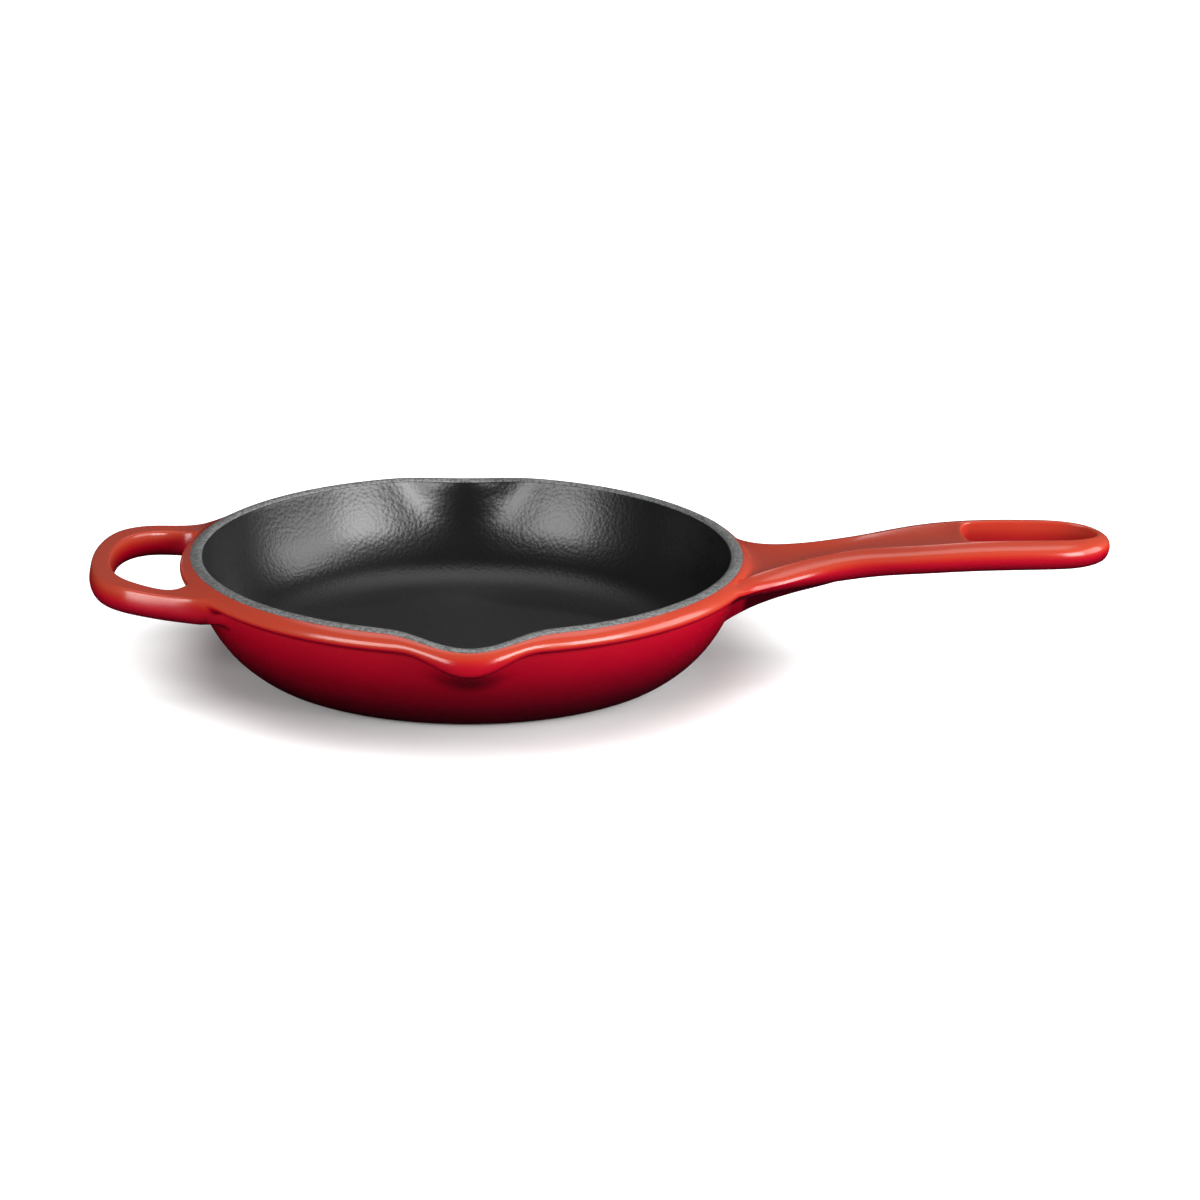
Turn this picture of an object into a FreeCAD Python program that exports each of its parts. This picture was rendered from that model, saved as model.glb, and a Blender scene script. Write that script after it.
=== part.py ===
"""Enamelled cast iron skillet with two pouring spouts, a long handle and a helper handle.

One rigid casting carries fused enamel coats.  The casting is cut where it branches
(bowl, long handle, helper handle) and every coat is a closed shell lying on the iron.
Millimetres; +Z up, the long handle along +X, the spouts on +Y and -Y, and the origin
at the centre of the underside, on the table.
"""
import math
import os

import FreeCAD
import Part

COAT = 0.35          # thickness of a fired enamel coat
SPOUT_ARC = 115.0    # radius on which the spout half widths are measured
BASE_R = 86.0        # flat underside, to the start of the corner radius
FLOOR_R = 79.0       # flat cooking surface
TURN = 96            # points on each closed ring of the bowl
SECTORS = 24         # faces round each ring of the bowl
SIDES, LENGTHS = 8, 6    # faces round and along each handle

# Rings of the finished surface: radius, height, then how far a spout pushes the
# ring outward, how far it drops it, and the half width of the spout on that ring.
WALL = [
    (BASE_R, 0.0, 0.0, 0.0, 20.0), (87.2, 0.05, 0.0, 0.0, 20.0),
    (88.5, 0.25, 0.0, 0.0, 20.0), (90.0, 0.85, 0.0, 0.0, 20.0),
    (92.6, 2.6, 0.0, 0.0, 20.0), (95.8, 5.2, 0.0, 0.0, 20.0),
    (98.9, 8.0, 0.0, 0.0, 20.0), (103.2, 13.0, 0.0, 0.0, 20.0),
    (106.4, 18.0, 0.1, 0.2, 22.0), (109.0, 23.0, 0.6, 1.2, 24.0),
    (111.2, 28.0, 1.8, 3.2, 26.0), (113.1, 33.0, 3.2, 5.5, 26.0),
    (114.6, 37.6, 5.0, 7.0, 26.0),
]
BAND = [
    (114.6, 37.6, 5.0, 7.0, 26.0), (116.4, 37.7, 6.2, 7.4, 26.5),
    (117.9, 38.6, 7.6, 7.6, 27.0), (118.7, 40.4, 8.4, 6.6, 29.0),
    (118.3, 42.4, 8.8, 5.2, 31.0), (117.0, 43.8, 9.0, 4.2, 32.5),
    (115.0, 44.7, 9.0, 3.7, 34.0),
]
CROWN = [
    (115.0, 44.7, 9.0, 3.7, 34.0), (113.6, 45.7, 9.0, 3.7, 34.0),
    (111.9, 46.2, 9.0, 3.8, 34.0), (110.4, 46.1, 9.0, 3.9, 33.5),
    (109.5, 45.2, 9.0, 4.0, 33.0),
]
INNER = [
    (109.5, 45.2, 9.0, 4.0, 33.0), (109.3, 43.0, 8.4, 3.9, 32.0),
    (109.0, 38.5, 6.4, 3.2, 30.0), (107.8, 32.0, 3.8, 2.0, 28.0),
    (105.7, 26.0, 1.6, 1.0, 26.0), (102.1, 19.0, 0.3, 0.2, 24.0),
    (97.7, 12.8, 0.0, 0.0, 20.0), (92.6, 8.2, 0.0, 0.0, 20.0),
    (87.4, 5.6, 0.0, 0.0, 20.0), (83.2, 4.68, 0.0, 0.0, 20.0),
    (FLOOR_R, 4.5, 0.0, 0.0, 20.0),
]
PROFILE = WALL + BAND[1:] + CROWN[1:] + INNER[1:]

# Long handle: station, half width, height of the side ridges, underside, dish depth.
LONG = [
    (98.0, 46.0, 43.4, 34.4, 0.3), (108.0, 39.8, 43.2, 34.2, 0.4),
    (116.0, 33.6, 42.7, 34.0, 0.6), (123.0, 28.4, 42.5, 34.0, 0.8),
    (131.0, 24.0, 43.3, 34.2, 1.0), (140.0, 20.4, 45.1, 34.7, 1.0),
    (150.0, 18.0, 47.2, 35.6, 1.0), (160.0, 17.3, 49.0, 37.0, 1.0),
    (170.0, 18.8, 50.5, 38.6, 1.0), (180.0, 21.4, 51.7, 40.0, 1.0),
    (191.0, 23.2, 52.8, 41.2, 1.0), (205.0, 23.8, 54.0, 42.1, 0.8),
    (222.0, 23.7, 54.6, 42.7, 0.6), (238.0, 23.2, 54.6, 42.9, 0.4),
    (248.0, 22.3, 54.4, 42.9, 0.2), (255.0, 20.2, 54.1, 43.0, 0.0),
    (260.4, 16.5, 53.6, 43.4, 0.0), (264.2, 11.8, 52.7, 44.0, 0.0),
    (266.6, 6.8, 51.3, 45.0, 0.0), (267.5, 3.0, 49.8, 46.4, 0.0),
]
# Tapered rib under the root of the long handle: station, half width, lowest height.
RIB = [
    (100.0, 9.0, 10.5), (107.0, 8.6, 14.2), (113.0, 8.0, 18.2), (119.0, 7.5, 21.6),
    (126.0, 6.9, 24.6), (134.0, 6.3, 27.4), (143.0, 5.7, 30.2), (152.0, 5.0, 33.2),
    (160.0, 4.2, 36.2),
]
RIB_TOP = 39.0
SLOT = [(205.5, 0.0), (206.2, 5.4), (208.0, 10.2), (212.4, 13.0), (221.0, 13.8),
        (232.0, 13.8), (243.0, 13.4), (251.2, 11.9), (256.8, 8.4), (260.4, 3.9),
        (261.5, 0.0)]

# Helper handle: centre of the bar, half width, top and underside, from the middle out.
HELPER = [
    (-150.8, 0.0, 5.2, 43.4, 32.9), (-150.0, 12.0, 5.2, 43.4, 32.9),
    (-147.3, 23.6, 5.4, 43.4, 32.9), (-142.5, 33.4, 5.9, 43.3, 32.7),
    (-135.4, 40.6, 6.2, 43.0, 32.2), (-126.6, 44.3, 6.4, 42.4, 31.5),
    (-118.0, 46.4, 6.8, 41.8, 31.0), (-110.0, 48.2, 8.0, 41.5, 31.0),
    (-102.0, 49.8, 9.4, 41.6, 31.4), (-92.0, 50.6, 8.0, 41.8, 31.8),
]
BAR_CORNER = 2.6     # corner radius of the helper handle's bar


def spout(theta, half):
    """Height of the spout bump, 0 to 1, at an angle round the bowl."""
    away = abs(abs(math.atan2(math.sin(theta), math.cos(theta))) - math.pi / 2)
    arc = SPOUT_ARC * away
    return math.cos(math.pi * arc / (2 * half)) ** 2 if arc < half else 0.0


def sunk(rings, depth):
    """Rings moved into the iron by depth, square to the section of the bowl."""
    out = []
    for i, (r, z, push, drop, half) in enumerate(rings):
        before, after = rings[max(i - 1, 0)], rings[min(i + 1, len(rings) - 1)]
        dr, dz = after[0] - before[0], after[1] - before[1]
        if i in (0, len(rings) - 1):
            dz = 0.0
        size = math.hypot(dr, dz)
        out.append((r - depth * dz / size, z + depth * dr / size, push, drop, half))
    return out


def angles():
    """Angles round the bowl, closer together at the spouts, from a plain stretch of rim."""
    steps = [math.pi / 4 + 2 * math.pi * i / TURN for i in range(TURN)]
    return [t + 0.17 * math.sin(2 * t) for t in steps]


def ring_curve(ring):
    """Closed smooth curve through one ring of the bowl, run from 0 to 1."""
    r, z, push, drop, half = ring
    points = []
    for theta in angles():
        bump = spout(theta, half)
        radius = r + push * bump
        points.append(FreeCAD.Vector(radius * math.cos(theta), radius * math.sin(theta),
                                     z - drop * bump))
    curve = Part.BSplineCurve()
    knots = [i / TURN for i in range(TURN + 1)]
    curve.interpolate(Points=points, PeriodicFlag=True, Parameters=knots)
    return curve


def lofted(curves, around, along=1, ruled=False):
    """Faces through closed curves, in a grid of around by along."""
    wires = [Part.Wire([c.toShape()]) for c in curves]
    surface = Part.makeLoft(wires, False, ruled).Faces[0].Surface
    low, high = surface.bounds()[2:]
    step = (high - low) / along
    return [surface.toShape(i / around, (i + 1) / around, low + j * step,
                            low + (j + 1) * step)
            for i in range(around) for j in range(along)]


def cap(curve, around):
    """Flat face inside a closed curve that is cut into around edges."""
    edges = [curve.toShape(i / around, (i + 1) / around) for i in range(around)]
    return [Part.Face(Part.Wire(edges))]


def skin(rings, ruled=False):
    """Faces through a run of rings, one to a sector."""
    return lofted([ring_curve(r) for r in rings], SECTORS, 1, ruled)


def disc(ring):
    """Flat face closing a ring that has no spout."""
    return cap(ring_curve(ring), SECTORS)


def solid(faces):
    """Closed solid sewn from faces."""
    shell = Part.Shell(Part.makeCompound(faces).Faces)
    shell.sewShape()
    body = Part.Solid(shell if shell.ShapeType == "Shell" else shell.Shells[0])
    if body.Volume < 0:
        body.reverse()
    return body


def run(rings, part):
    """The slice of a full profile that belongs to one named part of it."""
    start = PROFILE.index(part[0])
    return rings[start:start + len(part)]


def coat(part):
    """Enamel shell over one part of the profile."""
    iron = sunk(PROFILE, COAT)
    top, under = run(PROFILE, part), run(iron, part)
    return solid(skin(top) + skin(under) + skin([top[0], under[0]], True)
                 + skin([top[-1], under[-1]], True))


def flat_coat(ring, under):
    """Enamel disc between two flat rings."""
    return solid(disc(ring) + disc(under) + skin([ring, under], True))


def filled_bowl(depth):
    """Everything inside the outer surface of the bowl, as one lump."""
    rings = sunk(PROFILE, depth) if depth else PROFILE
    outer = [run(rings, part) for part in (WALL, BAND, CROWN)]
    faces = disc(outer[0][0])
    for part in outer:
        faces += skin(part)
    brim = outer[-1][-1]
    lid = (brim[0] - 30.0, 52.0, 0.0, 0.0, 20.0)
    return solid(faces + skin([brim, lid], True) + disc(lid))


def bowl_iron():
    """Iron of the bowl between the inner and the outer coats."""
    rings = sunk(PROFILE, COAT)
    faces = disc(rings[0]) + disc(rings[-1])
    for part in (WALL, BAND, CROWN, INNER):
        faces += skin(run(rings, part))
    return solid(faces)


def closed_curve(points):
    """Closed smooth curve through points, run from 0 to 1."""
    curve = Part.BSplineCurve()
    knots = [i / len(points) for i in range(len(points) + 1)]
    curve.interpolate(Points=points, PeriodicFlag=True, Parameters=knots)
    return curve


def tube(curves):
    """Solid through closed curves, capped flat at both ends."""
    return solid(lofted(curves, SIDES, LENGTHS) + cap(curves[0], SIDES)
                 + cap(curves[-1], SIDES))


def long_section(x, half, top, bottom, dish):
    """Section of the long handle: dished top, fully rounded sides, flat underside."""
    rise = (top - bottom) / 2
    side = min(rise, half * 0.8)
    flat = half - side
    middle = (top + bottom) / 2
    arc = [math.radians(a) for a in (75, 50, 25, 0, -25, -50, -75)]
    steps = (-1.0, -0.6, -0.2, 0.2, 0.6, 1.0)
    points = [(f * flat, top - dish * (1 - f * f)) for f in steps]
    points += [(flat + side * math.cos(a), middle + rise * math.sin(a)) for a in arc]
    points += [(-f * flat, bottom) for f in steps]
    points += [(-flat - side * math.cos(a), middle + rise * math.sin(a))
               for a in reversed(arc)]
    return closed_curve([FreeCAD.Vector(x, y, z) for y, z in points])


def rib_section(x, half, low):
    """Section of the rib: straight sides and a round lower edge."""
    deep = min(half, 0.7 * (RIB_TOP - low))
    points = [(half, RIB_TOP)]
    points += [(half * math.cos(a), low + deep + deep * math.sin(a))
               for a in [math.radians(-22.5 * i) for i in range(9)]]
    points += [(-half, RIB_TOP)]
    return Part.makePolygon([FreeCAD.Vector(x, y, z) for y, z in points + points[:1]])


def slot_cutter(grow):
    """Upright cutter for the hanging slot in the end of the long handle."""
    middle = (SLOT[0][0] + SLOT[-1][0]) / 2
    reach = (SLOT[-1][0] - SLOT[0][0]) / 2
    upper = [(middle + (x - middle) * (reach + grow) / reach, y + (grow if y else 0.0))
             for x, y in SLOT]
    outline = upper + [(x, -y) for x, y in reversed(upper[1:-1])]
    curve = closed_curve([FreeCAD.Vector(x, y, 30.0) for x, y in outline])
    return cap(curve, SIDES)[0].extrude(FreeCAD.Vector(0, 0, 40.0))


def long_handle(depth):
    """Long handle with its rib and slot, shrunk all over by depth."""
    bar = tube([long_section(x - depth * (x > 250.0), half - depth, top - depth,
                             bottom + depth, dish) for x, half, top, bottom, dish in LONG])
    rib = Part.makeLoft([rib_section(x, half - depth, low + depth)
                         for x, half, low in RIB], True, False)
    return bar.fuse(rib).cut(slot_cutter(depth))


def bar_section(centre, across, half, top, bottom):
    """Rounded rectangle across the bar of the helper handle."""
    corner = min(BAR_CORNER, half * 0.8)
    points = []
    for quarter, (u, z) in enumerate([(half, top), (-half, top), (-half, bottom),
                                      (half, bottom)]):
        cu = u - math.copysign(corner, u)
        cz = z - corner if z == top else z + corner
        for k in range(4):
            a = math.radians(90 * quarter + 30 * k)
            points.append((cu + corner * math.cos(a), cz + corner * math.sin(a)))
    return closed_curve([centre + across * u + FreeCAD.Vector(0, 0, z)
                         for u, z in points])


def helper_handle(depth):
    """Bail-shaped helper handle, shrunk all over by depth."""
    bar = [(x, -y, h, t, b) for x, y, h, t, b in reversed(HELPER[1:])] + HELPER
    curves = []
    for i, (x, y, half, top, bottom) in enumerate(bar):
        before, after = bar[max(i - 1, 0)], bar[min(i + 1, len(bar) - 1)]
        along = FreeCAD.Vector(after[0] - before[0], after[1] - before[1], 0).normalize()
        across = FreeCAD.Vector(along.y, -along.x, 0)
        curves.append(bar_section(FreeCAD.Vector(x, y, 0), across, half - depth,
                                  top - depth, bottom + depth))
    return tube(curves)


def main():
    """Build every piece and write it out."""
    iron = sunk(PROFILE, COAT)
    lump, lump_iron = filled_bowl(0.0), filled_bowl(COAT)
    arm, arm_iron = long_handle(0.0), long_handle(COAT)
    bail, bail_iron = helper_handle(0.0), helper_handle(COAT)
    pieces = {
        "bowl_casting": bowl_iron(),
        "long_handle_casting": arm_iron.cut(lump_iron),
        "helper_handle_casting": bail_iron.cut(lump_iron),
        "interior_enamel": solid(
            skin(run(PROFILE, INNER)) + skin(run(iron, INNER)) + disc(PROFILE[-1])
            + disc(iron[-1]) + skin([PROFILE[PROFILE.index(INNER[0])],
                                     iron[PROFILE.index(INNER[0])]], True)),
        "rim_ground_coat": coat(CROWN),
        "rim_band_enamel": coat(BAND).cut(arm_iron).cut(bail_iron),
        "wall_enamel": coat(WALL).cut(arm_iron).cut(bail_iron),
        "base_enamel": flat_coat(PROFILE[0], iron[0]),
        "long_handle_enamel": arm.cut(arm_iron).cut(lump),
        "helper_handle_enamel": bail.cut(bail_iron).cut(lump),
    }
    os.makedirs("parts", exist_ok=True)
    for node, shape in pieces.items():
        box = shape.BoundBox
        print(node, len(shape.Solids), shape.isValid(), round(shape.Volume / 1000, 2),
              [round(v, 2) for v in (box.XMin, box.YMin, box.ZMin, box.XMax, box.YMax,
                                     box.ZMax)])
        shape.exportStep("parts/" + node + ".step")


main()
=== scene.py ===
"""Enamelled cast iron skillet: the visual model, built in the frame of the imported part."""

import logging
import math
from dataclasses import dataclass, field
from enum import Enum
from typing import Callable, Sequence

import bpy
from mathutils import Matrix, Vector


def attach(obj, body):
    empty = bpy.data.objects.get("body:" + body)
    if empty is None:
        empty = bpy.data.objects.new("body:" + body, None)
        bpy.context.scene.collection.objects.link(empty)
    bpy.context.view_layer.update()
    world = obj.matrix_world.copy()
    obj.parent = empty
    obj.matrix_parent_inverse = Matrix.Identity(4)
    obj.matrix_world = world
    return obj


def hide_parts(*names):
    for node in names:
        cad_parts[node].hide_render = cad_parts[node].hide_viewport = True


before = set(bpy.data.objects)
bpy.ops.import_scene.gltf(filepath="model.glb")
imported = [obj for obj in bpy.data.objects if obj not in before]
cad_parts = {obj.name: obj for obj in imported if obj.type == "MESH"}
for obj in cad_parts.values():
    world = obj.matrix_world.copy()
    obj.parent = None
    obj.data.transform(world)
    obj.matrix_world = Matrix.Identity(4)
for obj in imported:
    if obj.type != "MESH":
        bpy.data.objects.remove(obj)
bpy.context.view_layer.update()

MM = 0.001
COLUMNS = 96          # cage columns round the bowl
SPOUT_ARC = 115.0     # radius on which the spouts' half widths are measured, mm
ROUNDING = 2          # subdivision levels of every piece
GLAZE_IOR = 1.5       # fired enamel is glass
SPOUT_MOVES = ("push", "drop", "half")    # point attributes that shape the spouts
LOG = logging.getLogger("skillet")


class Slot(Enum):
    """Material slots of the record, one for each of the pieces' finishes."""

    FLAME = "flame_red_enamel"
    GROUND = "grey_ground_coat"
    SATIN = "satin_black_enamel"


def linear(hex_code: str) -> tuple[float, float, float, float]:
    """Turn an sRGB hex colour into linear light.

    Args:
        hex_code: Six hex digits, such as "D4503C".

    Returns:
        Red, green, blue and an alpha of 1, in linear light.
    """
    parts = [int(hex_code[i:i + 2], 16) / 255 for i in (0, 2, 4)]
    r, g, b = [p / 12.92 if p <= 0.04045 else ((p + 0.055) / 1.055) ** 2.4 for p in parts]
    return (r, g, b, 1.0)


def mix(a: float, b: float, share: float) -> float:
    """Return the value that lies share of the way from a to b."""
    return a + (b - a) * share


def column_angle(column: int) -> float:
    """Return a cage column's angle round the bowl; columns stand closer at the spouts."""
    turn = 2 * math.pi * column / COLUMNS
    return turn + 0.1 * math.sin(2 * turn)


# ---------------------------------------------------------------- node helpers


def node(tree: bpy.types.NodeTree, kind: str, settings: dict | None = None,
         stops: Sequence[tuple[float, str]] = (), **links: object) -> bpy.types.Node:
    """Add one node to a tree, with its settings, values and links.

    Args:
        tree: The shader or geometry tree that gets the node.
        kind: The node's bl_idname.
        settings: Properties of the node itself.
        stops: Position and sRGB hex colour of each stop, where the node is a colour ramp.
        **links: Input values, output sockets, or nodes whose first output is meant, by
            input name with spaces as "_", or by position as "i0", "i1".

    Returns:
        The new node.
    """
    made = tree.nodes.new(kind)
    for name, value in (settings or {}).items():
        setattr(made, name, value)
    for name, value in links.items():
        by_place = name[0] == "i" and name[1:].isdigit()
        socket = made.inputs[int(name[1:])] if by_place else made.inputs[name.replace("_", " ")]
        if isinstance(value, bpy.types.Node):
            value = value.outputs[0]
        if isinstance(value, bpy.types.NodeSocket):
            tree.links.new(value, socket)
        else:
            socket.default_value = value
    while stops and len(made.color_ramp.elements) < len(stops):
        made.color_ramp.elements.new(0.5)
    for number, (place, code) in enumerate(stops):
        made.color_ramp.elements[number].position = place
        made.color_ramp.elements[number].color = linear(code)
    return made


def start_material(name: str) -> tuple[bpy.types.Material, bpy.types.NodeTree, bpy.types.Node]:
    """Start a material on a Principled shader.

    Args:
        name: The material's name.

    Returns:
        The material, its tree and the Principled node.
    """
    material = bpy.data.materials.new(name)
    material.use_nodes = True
    tree = material.node_tree
    return material, tree, tree.nodes["Principled BSDF"]


# ---------------------------------------------------------------- finishes


@dataclass(frozen=True)
class FlameGlaze:
    """Glossy fired enamel in two sprayed tones, orange over cherry red.

    Vitreous enamel is glass: a hard clear gloss over the colour.  The orange coat is
    sprayed from above, so it lies full on the rim and the handles' tops and thins to
    cherry and then oxblood on walls and undersides.  On top of that the tone carries
    painted shade: it is darker on faces that look down, low on the wall, down the
    handles' sides and in the slot.
    """

    tones: tuple[tuple[float, str], ...] = (
        (0.04, "2E0008"), (0.2, "4A000E"), (0.36, "700013"), (0.52, "94001A"),
        (0.64, "A2051E"), (0.8, "AE221A"), (1.0, "B43E2A"))
    roughness: float = 0.2
    wall_top: float = 0.037     # height up to which the wall grows lighter, m
    wall_tone: float = 0.64     # tone of the wall at that height
    band_foot: float = 0.0368   # height where the orange of the rim band sets in, m
    band_top: float = 0.042     # height from which it lies full, m
    under_tone: float = 0.04    # tone of a face that looks straight down: thin coat and painted shade
    full_facing: float = 0.15   # upward part of the normal from which the coat lies full and no painted shade is left
    cloud_mm: float = 22.222    # width of the glaze's slow clouds
    cloud_tone: float = 0.05    # tone that a cloud adds
    ripple_mm: float = 7.0      # wave length of the glaze's orange-peel ripple
    ripple_depth_mm: float = 0.6
    ripple_strength: float = 0.05

    def tone(self, tree: bpy.types.NodeTree, place: bpy.types.Node) -> bpy.types.Node:
        """Work out how much of the orange coat lies on a spot, with painted shade taken off it.

        Args:
            tree: The material's tree.
            place: The texture coordinates.

        Returns:
            The node whose value runs from oxblood at 0 to orange at 1.
        """
        spot = node(tree, "ShaderNodeSeparateXYZ", i0=place.outputs["Object"])
        facing = node(tree, "ShaderNodeSeparateXYZ", i0=place.outputs["Normal"])
        # darker low on the wall: the sprayed gradient, deepened towards the base by painted
        # shade
        wall = node(tree, "ShaderNodeMapRange", Value=spot.outputs["Z"],
                    From_Min=0.0, From_Max=self.wall_top, To_Min=0.0, To_Max=self.wall_tone)
        band = node(tree, "ShaderNodeMapRange", {"interpolation_type": "SMOOTHSTEP"},
                    Value=spot.outputs["Z"], From_Min=self.band_foot, From_Max=self.band_top,
                    To_Min=0.0, To_Max=1.0 - self.wall_tone)
        height = node(tree, "ShaderNodeMath", {"operation": "ADD"}, i0=wall, i1=band)
        # darker on faces that look down: partly thinner coat, partly painted shade
        spray_and_shade = node(tree, "ShaderNodeMapRange", Value=facing.outputs["Z"], From_Min=-1.0,
                     From_Max=self.full_facing, To_Min=self.under_tone, To_Max=1.0)
        least = node(tree, "ShaderNodeMath", {"operation": "MINIMUM"}, i0=height, i1=spray_and_shade)
        # per-point tone from the cage: the coat's reach, with painted shade on the handles'
        # lower sides and in the slot
        coat = node(tree, "ShaderNodeAttribute", {"attribute_name": "spray_and_shade"})
        least = node(tree, "ShaderNodeMath", {"operation": "MINIMUM"},
                     i0=least, i1=coat.outputs["Fac"])
        cloud = node(tree, "ShaderNodeTexNoise", Vector=place.outputs["Object"],
                     Scale=1.0 / (self.cloud_mm * MM), Detail=2.0)
        return node(tree, "ShaderNodeMath", {"operation": "MULTIPLY_ADD"},
                    i0=cloud, i1=self.cloud_tone, i2=least)

    def build(self) -> bpy.types.Material:
        """Make the finish.

        Returns:
            The material.
        """
        material, tree, shader = start_material("vitreous_enamel_flame_red")
        place = node(tree, "ShaderNodeTexCoord")
        colour = node(tree, "ShaderNodeValToRGB", stops=self.tones, i0=self.tone(tree, place))
        tree.links.new(colour.outputs["Color"], shader.inputs["Base Color"])
        ripple = node(tree, "ShaderNodeTexNoise", Vector=place.outputs["Object"],
                      Scale=1.0 / (self.ripple_mm * MM), Detail=1.5)
        bump = node(tree, "ShaderNodeBump", Strength=self.ripple_strength,
                    Distance=self.ripple_depth_mm * MM, Height=ripple)
        tree.links.new(bump.outputs[0], shader.inputs["Normal"])
        shader.inputs["Roughness"].default_value = self.roughness
        shader.inputs["IOR"].default_value = GLAZE_IOR
        return material


@dataclass(frozen=True)
class GroundCoat:
    """Grey ground-coat enamel on the rim, fired and left bare of colour.

    It carries no gloss coat, so it is semi-matt and faintly gritty.
    """

    grey: str = "4E4F4F"
    pale: str = "7E807F"
    grain: tuple[float, float] = (0.38, 0.62)   # noise at which it is all grey, all pale
    roughness: float = 0.42
    grit_mm: float = 1.2        # the real grit is finer; drawn as coarse as it needs to show
    grit_depth_mm: float = 0.2
    grit_strength: float = 0.12

    def build(self) -> bpy.types.Material:
        """Make the finish.

        Returns:
            The material.
        """
        material, tree, shader = start_material("ground_coat_enamel_grey")
        place = node(tree, "ShaderNodeTexCoord")
        grit = node(tree, "ShaderNodeTexNoise", Vector=place.outputs["Object"],
                    Scale=1.0 / (self.grit_mm * MM), Detail=3.0)
        colour = node(tree, "ShaderNodeValToRGB", i0=grit,
                      stops=list(zip(self.grain, (self.grey, self.pale))))
        tree.links.new(colour.outputs["Color"], shader.inputs["Base Color"])
        bump = node(tree, "ShaderNodeBump", Strength=self.grit_strength,
                    Distance=self.grit_depth_mm * MM, Height=grit)
        tree.links.new(bump.outputs[0], shader.inputs["Normal"])
        shader.inputs["Roughness"].default_value = self.roughness
        shader.inputs["IOR"].default_value = GLAZE_IOR
        return material


@dataclass(frozen=True)
class SatinBlack:
    """Satin black interior enamel, sprayed and fired over the cooking surface.

    It is near black and shines softly, with a fine pebbled skin.
    """

    black: str = "070708"
    soot: str = "0D0D0E"
    cloud: tuple[float, float] = (0.3, 0.75)    # noise at which it is all black, all soot
    cloud_mm: float = 16.667
    wall_rough: float = 0.31
    floor_rough: float = 0.48   # the floor is kept duller than the wall
    floor_top: float = 0.005    # height up to which it is all floor, m
    wall_foot: float = 0.013    # height from which it is all wall, m
    specular: float = 0.6
    pebble_mm: float = 1.6      # the real pebble is finer; drawn as coarse as it needs to show
    pebble_depth_mm: float = 0.3
    pebble_strength: float = 0.25

    def build(self) -> bpy.types.Material:
        """Make the finish.

        Returns:
            The material.
        """
        material, tree, shader = start_material("satin_black_enamel_interior")
        place = node(tree, "ShaderNodeTexCoord")
        pebble = node(tree, "ShaderNodeTexVoronoi", {"feature": "SMOOTH_F1"},
                      Vector=place.outputs["Object"],
                      Scale=1.0 / (self.pebble_mm * MM), Smoothness=0.6)
        cloud = node(tree, "ShaderNodeTexNoise", Vector=place.outputs["Object"],
                     Scale=1.0 / (self.cloud_mm * MM), Detail=2.0)
        colour = node(tree, "ShaderNodeValToRGB", i0=cloud,
                      stops=list(zip(self.cloud, (self.black, self.soot))))
        tree.links.new(colour.outputs["Color"], shader.inputs["Base Color"])
        bump = node(tree, "ShaderNodeBump", Strength=self.pebble_strength,
                    Distance=self.pebble_depth_mm * MM, Height=pebble.outputs["Distance"])
        tree.links.new(bump.outputs[0], shader.inputs["Normal"])
        spot = node(tree, "ShaderNodeSeparateXYZ", i0=place.outputs["Object"])
        rough = node(tree, "ShaderNodeMapRange", {"interpolation_type": "SMOOTHSTEP"},
                     Value=spot.outputs["Z"], From_Min=self.floor_top, From_Max=self.wall_foot,
                     To_Min=self.floor_rough, To_Max=self.wall_rough)
        tree.links.new(rough.outputs[0], shader.inputs["Roughness"])
        shader.inputs["IOR"].default_value = GLAZE_IOR
        shader.inputs["Specular IOR Level"].default_value = self.specular
        return material


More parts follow.
